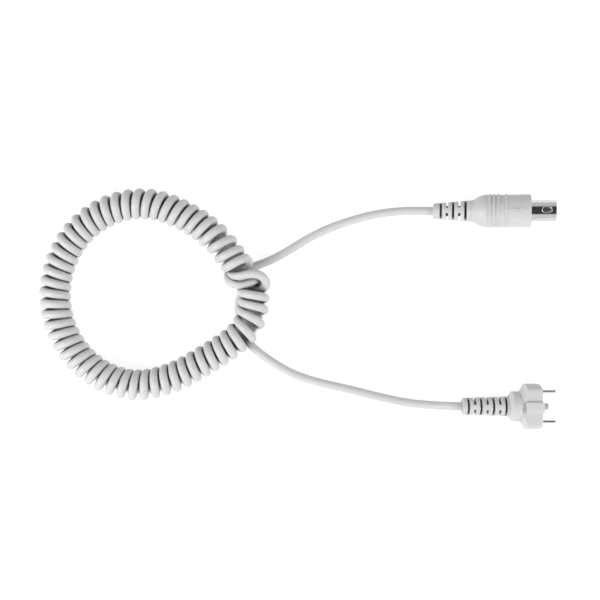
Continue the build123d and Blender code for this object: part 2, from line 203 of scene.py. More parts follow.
@dataclass(frozen=True)
class SoftPvc:
    """Flexible PVC with a faint mottle, handling marks and a satin skin, and, where asked, painted
    shade in slots and between close turns.
    """

    name: str
    grey: float
    mottle: float = 0.03
    gloss: float = 0.44
    grain: float = 2600.0
    depth: float = 0.00003
    # Painted shade in the boot's slots, darker with slot depth.
    slot_painted_shade: float = 0.0
    # Painted shade between close turns of the cord, found by ambient occlusion.
    gap_painted_shade: float = 0.0
    gap_shade_reach: float = 0.009
    gap_shade_stops: Stops = ((0.25, 1.0), (0.6, 0.0))

    def make(self) -> bpy.types.Material:
        """Build the material."""
        board = Board(self.name)
        cloud = board.noise(55.0, 3.0)
        smear = board.noise(240.0, 4.0, 0.6)
        low, high = self.grey * (1 - self.mottle), self.grey * (1 + self.mottle)
        mixed = cloud * 0.6 + smear * 0.4
        shade = board.ramp(mixed, [(0.32, 0.0), (0.68, 1.0)])
        base = board.tint(shade, (low, low, low * 0.995), (high, high, high))
        # Painted shade: the base colour turns darker grey by how deep in a boot slot the point is.
        if self.slot_painted_shade:
            inside = board.node("Attribute", {"attribute_name": "slot_shade_depth"}, {}, "Fac")
            base = board.grey_over(inside, base, self.grey * (1 - self.slot_painted_shade))
        # Painted shade: the base colour turns darker grey where ambient occlusion finds other turns
        # of the cord close by, as between the coil's turns.
        if self.gap_painted_shade:
            open_sky = board.node("AmbientOcclusion", {"samples": 8, "only_local": True},
                                  {"Distance": self.gap_shade_reach}, "AO")
            gap_shade = board.ramp(open_sky, self.gap_shade_stops)
            base = board.grey_over(gap_shade, base, self.grey * (1 - self.gap_painted_shade))
        board.set(Base_Color=base, Roughness=self.gloss + (smear - 0.5) * 0.16,
                  Specular_IOR_Level=0.42)
        fine = board.noise(self.grain, 2.0)
        board.bump(fine * 0.7 + smear * 0.3, self.depth)
        return board.material


@dataclass(frozen=True)
class MouldedPlastic:
    """Rigid moulded plastic with a fine eroded texture and lighter rubbed edges."""

    name: str
    grey: float
    gloss: float = 0.46
    grain: float = 3400.0
    depth: float = 0.00004
    rub: float = 0.05

    def make(self) -> bpy.types.Material:
        """Build the material."""
        board = Board(self.name)
        cloud = board.noise(70.0, 3.0)
        wear = board.edge_wear()
        low, high = self.grey * 0.985, self.grey * 1.015
        base = board.tint(cloud, (low, low, low * 0.995), (high, high, high * 0.997))
        rubbed = board.grey_over(wear * 0.5, base, min(self.grey + self.rub, 1.0))
        board.set(Base_Color=rubbed, Roughness=self.gloss + (cloud - 0.5) * 0.1 - wear * 0.08,
                  Specular_IOR_Level=0.45)
        board.bump(board.noise(self.grain, 3.0, 0.6), self.depth)
        return board.material


@dataclass(frozen=True)
class PlatedMetal:
    """Bright plated metal with draw lines along the plug and a few rubbed marks."""

    name: str
    colour: tuple[float, float, float]
    gloss: float = 0.16
    line: float = 1500.0
    depth: float = 0.000004

    def make(self) -> bpy.types.Material:
        """Build the material."""
        board = Board(self.name)
        lines = board.noise(self.line, 3.0, 0.6, (0.04, 1.0, 1.0))
        marks = board.ramp(board.noise(420.0, 4.0, 0.65), [(0.45, 0.0), (0.75, 1.0)])
        dull = tuple(part * 0.9 for part in self.colour)
        board.set(Base_Color=board.tint(marks, self.colour, dull),
                  Roughness=self.gloss + marks * 0.1 + (lines - 0.5) * 0.06, Metallic=1.0)
        board.bump(lines, self.depth)
        return board.material


@dataclass(frozen=True)
class Insulation:
    """Plain coloured moulding for the pieces inside the plugs."""

    name: str
    colour: tuple[float, float, float]
    gloss: float = 0.4

    def make(self) -> bpy.types.Material:
        """Build the material."""
        board = Board(self.name)
        cloud = board.noise(300.0, 3.0)
        dark = tuple(part * 0.9 for part in self.colour)
        board.set(Base_Color=board.tint(cloud, dark, self.colour),
                  Roughness=self.gloss + (cloud - 0.5) * 0.12)
        board.bump(board.noise(3000.0, 2.0), 0.00003)
        return board.material


MADE: dict[str, bpy.types.Material] = {}


class Finish(Enum):
    """Every finish of the cord set, by what it covers."""

    # The jacket paints shade between the coil's turns.
    JACKET = SoftPvc("cord_jacket_pvc", 0.47, gap_painted_shade=0.75)
    # The boot paints shade in its slots.
    BOOT = SoftPvc("boot_pvc", 0.46, mottle=0.025, gloss=0.5, slot_painted_shade=0.8)
    GRIP = MouldedPlastic("grip_plastic", 0.46)
    HOUSING = MouldedPlastic("housing_plastic", 0.46, gloss=0.5)
    CARRIER = MouldedPlastic("carrier_plastic", 0.44, gloss=0.42)
    INSULATOR = Insulation("insulator_plastic", (0.022, 0.022, 0.024))
    SHELL = PlatedMetal("shell_nickel", (0.62, 0.62, 0.625), gloss=0.12)
    PINS = PlatedMetal("pin_nickel", (0.7, 0.69, 0.67), gloss=0.22)
    STEEL = PlatedMetal("tinned_steel", (0.55, 0.55, 0.56), gloss=0.34)
    CLAMP = Insulation("clamp_plastic", (0.5, 0.5, 0.48))
    CORE_DARK = Insulation("core_black", (0.03, 0.03, 0.03), 0.32)
    CORE_LIGHT = Insulation("core_red", (0.5, 0.03, 0.02), 0.32)

    def dress(self, piece: Piece) -> Piece:
        """Give a piece this finish in every slot it has.

        Args:
            piece: A mesh or curve object.

        Returns:
            The same object.
        """
        material = MADE.get(self.name)
        if material is None:
            material = MADE[self.name] = self.value.make()
        slots = piece.material_slots
        if not len(slots):
            piece.data.materials.append(material)
        for slot in slots:
            slot.material = material
        return piece

    def dress_nodes(self, *names: str) -> None:
        """Give the CAD nodes of these names this finish."""
        for name in names:
            self.dress(bpy.data.objects[name])


# Shapes

def add(name: str, data: bpy.types.ID) -> Piece:
    """Make an object from its data and put it in the scene."""
    piece = bpy.data.objects.new(name, data)
    bpy.context.scene.collection.objects.link(piece)
    return piece


@dataclass(frozen=True)
class Seat:
    """Where a plug lies: its local X axis starts at the boot's tail and runs to the contacts."""

    tail: Point
    yaw: float = 0.0
    pitch: float = 0.0

    def matrix(self) -> Matrix:
        """From the plug's own millimetres to the row frame in metres."""
        turned = (Matrix.Rotation(math.radians(self.yaw), 4, "Z")
                  @ Matrix.Rotation(math.radians(-self.pitch), 4, "Y"))
        return Matrix.Translation(Vector(self.tail) * MM) @ turned @ Matrix.Scale(MM, 4)

    def at(self, x: float) -> Vector:
        """A point on the plug's axis in the row frame, in metres."""
        return self.matrix() @ Vector((x, 0.0, 0.0))


class Shaper:
    """Makes finished mesh objects from grids and outlines."""

    @staticmethod
    def mesh(name: str, points: Sequence[Sequence[float]], faces: Sequence[Sequence[int]],
             place: Matrix, smooth_angle: float = 40.0) -> Piece:
        """Make an object from points and faces.

        Args:
            name: The piece's name.
            points: Its corners in its own millimetres.
            faces: Its faces as corner numbers.
            place: From its own millimetres to the row frame.
            smooth_angle: Edges sharper than this many degrees stay crisp.

        Returns:
            The object, with its place in its mesh.
        """
        data = bpy.data.meshes.new(name)
        data.from_pydata([tuple(point) for point in points], [], [tuple(face) for face in faces])
        data.transform(place)
        data.validate()
        body = bmesh.new()
        body.from_mesh(data)
        bmesh.ops.recalc_face_normals(body, faces=body.faces)
        body.to_mesh(data)
        body.free()
        piece = add(name, data)
        Shaper.soften(piece, smooth_angle)
        return piece

    @staticmethod
    def soften(piece: Piece, angle: float) -> None:
        """Shade smooth, except over edges sharper than an angle in degrees."""
        data = piece.data
        data.shade_smooth()
        data.set_sharp_from_angle(angle=math.radians(angle))

    @staticmethod
    def round_loop(name: str, rings: Sequence[Sequence[Point]], place: Matrix,
                   smooth_angle: float = 40.0) -> Piece:
        """Join closed rings of equal length into a closed tube-like body, last ring to first."""
        points = [point for ring in rings for point in ring]
        faces = Shaper.bands(len(rings), len(rings[0]), closed=True)
        return Shaper.mesh(name, points, faces, place, smooth_angle)

    @staticmethod
    def evaluated(piece: Piece) -> bpy.types.Mesh:
        """A copy of a piece's mesh with its modifiers worked in."""
        bpy.context.view_layer.update()
        graph = bpy.context.evaluated_depsgraph_get()
        return bpy.data.meshes.new_from_object(piece.evaluated_get(graph))

    @staticmethod
    def combine(piece: Piece, tool: Piece, operation: str, smooth_angle: float) -> Piece:
        """Cut or join a piece with a tool mesh, which is used up."""
        step = piece.modifiers.new("combine", "BOOLEAN")
        step.operation, step.object, step.solver = operation, tool, "EXACT"
        done = Shaper.evaluated(piece)
        piece.modifiers.clear()
        old, piece.data = piece.data, done
        bpy.data.meshes.remove(old)
        bpy.data.objects.remove(tool)
        Shaper.soften(piece, smooth_angle)
        return piece

    @staticmethod
    def rounded(corners: Sequence[tuple[float, float, float]], steps: int = 5) -> Profile:
        """Round an outline's corners.

        Args:
            corners: Points (x, radius, rounding) in millimetres.
            steps: Straight pieces in each rounded corner.

        Returns:
            The outline as (x, radius) points, closed from last to first.
        """
        outline: Profile = []
        total = len(corners)
        for number, (x, y, rounding) in enumerate(corners):
            here = Vector((x, y))
            if rounding <= 0:
                outline.append((x, y))
                continue
            before = Vector(corners[number - 1][:2])
            after = Vector(corners[(number + 1) % total][:2])
            reach_in = min(rounding, 0.49 * (before - here).length)
            reach_out = min(rounding, 0.49 * (after - here).length)
            start = here + (before - here).normalized() * reach_in
            end = here + (after - here).normalized() * reach_out
            for step in range(steps + 1):
                t = step / steps
                spot = start * (1 - t) ** 2 + here * (2 * t * (1 - t)) + end * t ** 2
                outline.append((spot.x, spot.y))
        return outline

    @staticmethod
    def ring(x: float, radius: Radius, angles: Sequence[float]) -> list[Point]:
        """A closed ring round the X axis whose radius may change with the angle."""
        return [(x, radius(a) * math.cos(a), radius(a) * math.sin(a)) for a in angles]

    @staticmethod
    def turned(name: str, outline: Profile, place: Matrix, segments: int,
               smooth_angle: float = 40.0) -> Piece:
        """Turn a closed outline about the X axis into a body with a hole along it."""
        angles = Shaper.angles(segments)
        rings = [Shaper.ring(x, lambda _, r=r: r, angles) for x, r in outline]
        return Shaper.round_loop(name, rings, place, smooth_angle)

    @staticmethod
    def angles(segments: int) -> list[float]:
        """Evenly spaced angles for a whole turn."""
        return [2 * math.pi * step / segments for step in range(segments)]

    @staticmethod
    def apart(angles: set[float], least: float) -> list[float]:
        """Angles in order, without those closer than the least to the one before."""
        ordered = sorted(angles)
        return [a for n, a in enumerate(ordered) if not n or a - ordered[n - 1] > least]

    @staticmethod
    def bands(rows: int, size: int, closed: bool = False) -> list[tuple[int, ...]]:
        """Faces between rows of points, each row closed, and last row to first if asked."""
        faces = []
        for row in range(rows if closed else rows - 1):
            after = (row + 1) % rows
            for col in range(size):
                beside = (col + 1) % size
                faces.append((row * size + col, row * size + beside,
                              after * size + beside, after * size + col))
        return faces

    @staticmethod
    def prism(name: str, outline: Sequence[tuple[float, float]], low: float, high: float,
              place: Matrix) -> Piece:
        """Raise a flat outline in X and Y from one height to another."""
        size = len(outline)
        points = [(x, y, z) for z in (low, high) for x, y in outline]
        faces = [tuple(reversed(range(size))), tuple(range(size, 2 * size))]
        return Shaper.mesh(name, points, faces + Shaper.bands(2, size), place)

    @staticmethod
    def oval(length: float, width: float, centre: float, steps: int = 12) -> list[tuple]:
        """A slot-shaped outline round (centre, 0) in X and Y."""
        radius = width / 2
        straight = length / 2 - radius
        points = []
        for side in (1, -1):
            for step in range(steps + 1):
                angle = -math.pi / 2 + math.pi * step / steps
                points.append((centre + side * (straight + radius * math.cos(angle)),
                               side * radius * math.sin(angle)))
        return points


# Boots

@dataclass
class Boot:
    """A tapered strain-relief boot whose slots leave webs at the sides and the top in turn."""

    name: str
    seat: Seat
    tail_d: float
    neck_d: float
    length: float
    first_slot: float
    slot_pitch: float
    slot_count: int
    node: str
    body: str
    slot_w: float = 1.45
    web: float = 34.0
    floor_r: float = 3.15
    bore_r: float = 2.75
    lip: float = 0.22
    lip_share: float = 0.1
    wall: float = 0.06
    wall_share: float = 0.82
    web_blend: float = 0.10
    rim: float = 0.55

    def outer(self, x: float) -> float:
        """The boot's radius without slots at a distance from its tail."""
        radius = self.tail_d / 2 + (self.neck_d - self.tail_d) / 2 * x / self.length
        if x < self.rim:
            drop = 1 - math.sqrt(max(0.0, 1 - (1 - x / self.rim) ** 2))
            radius -= self.rim * drop
        return radius

    def stations(self) -> list[float]:
        """Distances from the tail at which the boot has a ring."""
        places = {0.0, self.length}
        places.update(self.rim * step / 6 for step in range(1, 7))
        for number in range(self.slot_count):
            middle = self.first_slot + number * self.slot_pitch
            half = self.slot_w / 2
            for side in (-1, 1):
                for offset in (half + self.lip, half + 0.5 * self.lip, half, half - self.wall,
                               half - 0.25):
                    places.add(middle + side * offset)
            places.add(middle)
        return sorted(places)

    def depth(self, x: float, angle: float) -> float:
        """How far into a slot a point is, from 0 on the skin to 1 on the slot's floor."""
        half = self.slot_w / 2
        for number in range(self.slot_count):
            off = abs(x - (self.first_slot + number * self.slot_pitch))
            if off > half + self.lip:
                continue
            turned = angle if number % 2 == 0 else angle - math.pi / 2
            beside = abs((turned + math.pi / 2) % math.pi - math.pi / 2)
            web = math.radians(self.web / 2)
            across = min(1.0, max(0.0, (beside - web) / self.web_blend))
            if off > half:
                along = self.lip_share * (1 - (off - half) / self.lip) ** 2
            elif off > half - 0.1:
                along = self.lip_share + self.wall_share * (half - off) / self.wall
            else:
                along = 1.0
            return min(1.0, along) * across * across * (3 - 2 * across)
        return 0.0

    def build(self) -> Piece:
        """Make the boot.

        Returns:
            The boot, along the plug's axis between the cord and the plug.
        """
        angles = self.angle_stations()
        rings = []
        for x in self.stations():
            skin = self.outer(x)
            rings.append(Shaper.ring(
                x, lambda a, x=x, s=skin: s - (s - self.floor_r) * self.depth(x, a), angles))
        for x in (self.length, 0.75 * self.length, 0.5 * self.length, 0.25 * self.length, 0.25):
            rings.append(Shaper.ring(x, lambda _: self.bore_r, angles))
        rings.append(Shaper.ring(0.0, lambda _: self.bore_r + 0.3, angles))
        boot = Shaper.round_loop(self.name, rings, self.seat.matrix(), 50.0)
        self.shade(boot, rings, angles)
        Finish.BOOT.dress(boot)
        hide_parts(self.node)
        self.seat.at(0.0)
        self.seat.at(self.length)
        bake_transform(boot)
        return boot

    def shade(self, boot: Piece, rings: Sequence[Sequence[Point]],
              angles: Sequence[float]) -> None:
        """Keep how deep in a slot each point is, for the finish to darken as painted shade."""
        depths = []
        for ring in rings:
            for angle, (x, y, z) in zip(angles, ring):
                outside = math.hypot(y, z) > self.bore_r + 0.1
                depths.append(self.depth(x, angle) if outside else 0.0)
        layer = boot.data.attributes.new("slot_shade_depth", "FLOAT", "POINT")
        layer.data.foreach_set("value", depths)

    def angle_stations(self) -> list[float]:
        """Angles of the boot's lines, closer together beside the webs."""
        angles = set(Shaper.angles(96))
        web = math.radians(self.web / 2)
        for quarter in range(4):
            for side in (-1, 1):
                for step in (0.0, 0.03, 0.06, self.web_blend):
                    angles.add((quarter * math.pi / 2 + side * (web + step)) % (2 * math.pi))
        return Shaper.apart(angles, 1e-4)


# DIN plug

@dataclass
class DinPlug:
    """The round plug: flared grip with ridges and arrow, drawn shell, insulator and pins."""

    seat: Seat = Seat((-37.4, 62.94, 4.645), -0.8, 10.595)
    boot_length: float = 23.5
    neck_r: float = 6.65
    grip_start: float = 28.6
    grip_r: float = 10.15
    grip_end: float = 59.2
    ridges: tuple[float, ...] = (34.4, 37.0, 39.8, 44.4)
    ridge_w: float = 1.3
    ridge_h: float = 0.45
    valley: float = 0.2
    arrow_start: float = 47.2
    arrow_length: float = 9.4
    arrow_w: float = 1.6
    arrow_h: float = 0.42
    shell_r: float = 6.6
    shell_rear_r: float = 6.4
    shell_wall: float = 0.5
    mouth: float = 74.2
    shoulder: float = 59.25
    port_length: float = 5.6
    port_w: float = 3.2
    port_x: float = 68.5
    key_r: float = 1.1

    def build(self) -> list[Piece]:
        """Make the plug's visible pieces and dress its other nodes."""
        pieces = [self.grip(), self.arrow(), self.shell(), self.port_rim()]
        for piece in pieces:
            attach(piece, "din_plug")
        Finish.INSULATOR.dress_nodes("din_insulator")
        Finish.PINS.dress_nodes("din_pin_1", "din_pin_2", "din_pin_3")
        Finish.STEEL.dress_nodes("din_can_upper", "din_can_lower", "din_cord_crimp")
        return pieces

    def grip(self) -> Piece:
        """The moulded grip with its flare and raised ridges."""
        r, neck = self.grip_r, self.neck_r
        start, end = self.boot_length + 0.05, self.grip_end
        corners = [(start, neck - 1.15, 0.0), (start, neck + 0.02, 0.1),
                   (start + 1.6, neck + 0.5, 1.6), (self.grip_start - 0.4, r - 0.95, 2.4),
                   (self.grip_start + 2.8, r, 2.4)]
        for ridge in self.ridges:
            half, flat = self.ridge_w / 2, self.ridge_w / 4
            corners += [(ridge - half, r - self.valley, 0.2), (ridge - flat, r + self.ridge_h, 0.2),
                        (ridge + flat, r + self.ridge_h, 0.2), (ridge + half, r - self.valley, 0.2)]
        rear = self.shell_rear_r + 0.05
        corners += [(end, r, 0.75), (end, rear, 0.2), (end - 5.0, rear, 0.0),
                    (end - 5.0, rear + 0.5, 0.0), (start + 4.05, rear + 0.5, 0.0),
                    (start + 4.05, neck - 1.15, 0.0)]
        grip = Shaper.turned("din_grip", Shaper.rounded(corners), self.seat.matrix(), 128, 30.0)
        Finish.GRIP.dress(grip)
        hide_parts("din_cover")
        return grip

    def arrow(self) -> Piece:
        """The raised arrow on the grip's top."""
        start, tip = self.arrow_start, self.arrow_start + self.arrow_length
        neck = start + 0.55 * self.arrow_length
        half, barb = self.arrow_w / 4, self.arrow_w
        outline = [(start, -half), (neck, -half), (neck, -barb), (tip, 0.0), (neck, barb),
                   (neck, half), (start, half)]
        rows = []
        for level, inset in ((-0.5, 0.0), (self.arrow_h - 0.1, 0.0), (self.arrow_h, 0.12)):
            centre = Vector((neck, 0.0))
            row = []
            for x, y in outline:
                pulled = Vector((x, y)) + (centre - Vector((x, y))).normalized() * inset
                top = math.sqrt((self.grip_r + level) ** 2 - pulled.y ** 2)
                row.append((pulled.x, pulled.y, top))
            rows.append(row)
        size = len(outline)
        points = [point for row in rows for point in row]
        points.append((neck, 0.0, self.grip_r + self.arrow_h))
        faces = Shaper.bands(3, size)
        faces += [(2 * size + n, 2 * size + (n + 1) % size, 3 * size) for n in range(size)]
        faces.append(tuple(reversed(range(size))))
        arrow = Shaper.mesh("din_grip_arrow", points, faces, self.seat.matrix(), 20.0)
        return Finish.GRIP.dress(arrow)

    def groove(self, radius: float, cut: float) -> Radius:
        """A radius that dips where the key dent runs along the bottom."""
        def at(angle: float) -> float:
            """The radius at an angle."""
            off = (angle + math.pi / 2 + math.pi) % (2 * math.pi) - math.pi
            across = abs(self.shell_r * math.sin(off))
            if abs(off) > math.pi / 2 or across >= cut:
                return radius
            dip = self.shell_r * math.cos(off) - math.sqrt(cut ** 2 - across ** 2)
            return min(radius, dip)
        return at

    def shell(self) -> Piece:
        """The drawn shell with its key dent, rolled mouth and latch port."""
        inner = self.shell_r - self.shell_wall
        angles = set(Shaper.angles(120))
        for step in range(-14, 15):
            angles.add((-math.pi / 2 + step * 0.02) % (2 * math.pi))
        ordered = Shaper.apart(angles, 2e-3)
        key, key_in = self.key_r, self.key_r + self.shell_wall
        rings = []
        rear = [(49.0, self.shell_rear_r), (self.shoulder, self.shell_rear_r),
                (self.shoulder, self.shell_r - 0.06), (self.shoulder + 0.08, self.shell_r)]
        for x, r in rear:
            rings.append(Shaper.ring(x, lambda _, r=r: r, ordered))
        dent_start = self.grip_end + 1.0
        rings.append(Shaper.ring(dent_start, lambda _: self.shell_r, ordered))
        full = self.groove(self.shell_r, key)
        for share, run in ((0.35, 0.15), (0.8, 0.45), (1.0, 0.9)):
            rings.append(Shaper.ring(
                dent_start + run, lambda a, s=share: self.shell_r - s * (self.shell_r - full(a)),
                ordered))
        for x in np.linspace(dent_start + 2.0, self.mouth - 0.2, 7):
            rings.append(Shaper.ring(float(x), full, ordered))
        hollow = self.groove(inner, key_in)
        for step in range(1, 6):
            t = step / 6
            bulge = math.sin(math.pi * t)
            rings.append(Shaper.ring(
                self.mouth - 0.2 + 0.2 * bulge,
                lambda a, t=t: full(a) * (1 - t) + hollow(a) * t, ordered))
        for x in (self.mouth - 0.2, self.mouth - 5.0, 63.0):
            rings.append(Shaper.ring(x, hollow, ordered))
        for x in (61.0, 49.0):
            rings.append(Shaper.ring(x, lambda _: inner, ordered))
        shell = Shaper.round_loop("din_metal_shell", rings, self.seat.matrix(), 35.0)
        cutter = Shaper.prism("port_cutter",
                              Shaper.oval(self.port_length, self.port_w, self.port_x),
                              3.0, 9.0, self.seat.matrix())
        shell = Shaper.combine(shell, cutter, "DIFFERENCE", 35.0)
        Finish.SHELL.dress(shell)
        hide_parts("din_shell")
        return shell

    def port_rim(self) -> Piece:
        """The lip pressed up round the latch port."""
        outline = Shaper.oval(self.port_length + 0.2, self.port_w + 0.2, self.port_x, 16)
        size, bead = len(outline), 0.24
        place = self.seat.matrix()
        rings = []
        for number, (x, y) in enumerate(outline):
            before, after = outline[number - 1], outline[(number + 1) % size]
            run = Vector((after[0] - before[0], after[1] - before[1])).normalized()
            side = Vector((run.y, -run.x))
            height = math.sqrt(self.shell_r ** 2 - y ** 2) - 0.06
            rings.append([(x + side.x * bead * math.cos(a), y + side.y * bead * math.cos(a),
                           height + bead * math.sin(a)) for a in Shaper.angles(12)])
        rim = Shaper.round_loop("din_port_rim", rings, place, 60.0)
        return Finish.SHELL.dress(rim)


# Motor plug

@dataclass
class MotorPlug:
    """The flat-sided plug: stepped collar and shoulder, head with key rib, post and two pins."""

    seat: Seat = Seat((-20.2, -58.8, 9.3))
    boot_length: float = 28.6
    neck_r: float = 6.15
    collar_r: float = 9.3
    collar_start: float = 30.7
    collar_end: float = 35.7
    shoulder_r: float = 11.5
    shoulder_x: float = 37.6
    head_r: float = 14.15
    head_start: float = 38.7
    head_end: float = 48.3
    head_round: float = 2.4
    flat: float = 8.4
    rib_w: float = 7.2
    rib_start: float = 37.9
    rib_end: float = 48.9
    rib_h: float = 1.4
    carrier_r: float = 11.2
    carrier_flat: float = 6.4
    carrier_t: float = 5.0
    core_r: float = 5.0
    post_r: float = 1.95
    post_reach: float = 4.9

    def build(self) -> list[Piece]:
        """Make the plug's visible pieces and dress its other nodes."""
        pieces = [self.housing(), self.post()]
        for piece in pieces:
            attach(piece, "motor_plug")
        Finish.CARRIER.dress_nodes("motor_carrier")
        Finish.PINS.dress_nodes("motor_pin_upper", "motor_pin_lower")
        Finish.CLAMP.dress_nodes("motor_cord_clamp")
        return pieces

    @staticmethod
    def flatted(radius: float, flat: float, soft: float = 26.0) -> Radius:
        """A round outline trimmed to two flats, with softened edges where they meet."""
        def at(angle: float) -> float:
            """The radius at an angle."""
            rise = abs(math.sin(angle))
            if rise * radius < flat * 0.6:
                return radius
            return (radius ** -soft + (flat / rise) ** -soft) ** (-1 / soft)
        return at

    def housing(self) -> Piece:
        """The collar, the stepped shoulder and the head with its rib."""
        start = self.boot_length + 0.05
        collar = [(start, self.neck_r - 1.15, 0.0), (start, self.neck_r + 0.4, 0.2),
                  (self.collar_start, self.collar_r, 0.5), (self.collar_end, self.collar_r, 0.15)]
        head = [(self.collar_end, self.collar_r + 0.45, 0.25),
                (self.shoulder_x - 0.35, self.shoulder_r - 0.45, 0.3),
                (self.shoulder_x, self.shoulder_r, 0.2), (self.head_start, self.head_r, 0.5),
                (self.head_end, self.head_r, self.head_round), (self.head_end, self.carrier_r, 0.0)]
        inside = [(self.head_end - self.carrier_t, self.carrier_r, 0.0),
                  (self.head_end - self.carrier_t, self.core_r, 0.0)]
        angles = self.head_angles()
        outline = Shaper.rounded(collar + head + inside)
        rings = []
        for x, r in outline:
            if r <= self.core_r or (r <= self.collar_r + 1e-6 and x < self.collar_end + 0.01):
                rings.append(Shaper.ring(x, lambda _, r=r: r, angles))
            elif abs(r - self.carrier_r) < 1e-6:
                rings.append(Shaper.ring(x, self.flatted(r, self.carrier_flat), angles))
            else:
                gap = self.head_r - r if x > self.head_end - self.head_round - 0.1 else 0.0
                flat = self.flat - min(gap * 0.42, 0.9)
                rings.append(Shaper.ring(x, self.flatted(r, flat), angles))
        housing = Shaper.round_loop("motor_head", rings, self.seat.matrix(), 24.0)
        housing = Shaper.combine(housing, self.rib(), "UNION", 24.0)
        Finish.HOUSING.dress(housing)
        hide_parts("motor_housing")
        return housing

    def head_angles(self) -> list[float]:
        """Angles of the head's lines, closer together where the flats meet the round sides."""
        angles = set(Shaper.angles(120))
        for radius in (self.head_r, self.shoulder_r, self.carrier_r):
            edge = math.asin(min(1.0, self.flat / radius))
            for centre in (edge, math.pi - edge, math.pi + edge, 2 * math.pi - edge):
                for step in range(-6, 7):
                    angles.add((centre + step * 0.014) % (2 * math.pi))
        return Shaper.apart(angles, 3e-3)

    def rib(self) -> Piece:
        """The key rib's body, rounded along its top, for joining to the head."""
        half, corner = self.rib_w / 2, 1.0
        sides = [(self.rib_start, -half), (self.rib_end - corner, -half),
                 (self.rib_end, corner - half), (self.rib_end, half - corner),
                 (self.rib_end - corner, half), (self.rib_start, half)]
        top = self.flat + self.rib_h
        levels = [(top - 3.2, 0.0), (top - 0.3, 0.0), (top - 0.09, 0.09), (top, 0.3)]
        centre = Vector(((self.rib_start + self.rib_end) / 2, 0.0))
        points, size = [], len(sides)
        for height, inset in levels:
            for x, y in sides:
                points.append((x - math.copysign(inset, x - centre.x),
                               y - math.copysign(inset, y), height))
        faces = Shaper.bands(len(levels), size)
        faces.append(tuple(reversed(range(size))))
        faces.append(tuple(range((len(levels) - 1) * size, len(levels) * size)))
        return Shaper.mesh("rib_tool", points, faces, self.seat.matrix())

    def post(self) -> Piece:
        """The fillet ring round the guide post and the chamfer on its end."""
        base, end = self.head_end - 0.05, self.head_end + self.post_reach
        corners = [(base, self.post_r + 0.5, 0.1), (base + 0.5, self.post_r + 0.04, 0.3),
                   (end - 0.3, self.post_r + 0.04, 0.1), (end + 0.02, self.post_r - 0.3, 0.1),
                   (end + 0.02, 0.05, 0.0), (base, 0.05, 0.0)]
        post = Shaper.turned("motor_guide_post", Shaper.rounded(corners), self.seat.matrix(), 48)
        return Finish.CARRIER.dress(post)


# Cord

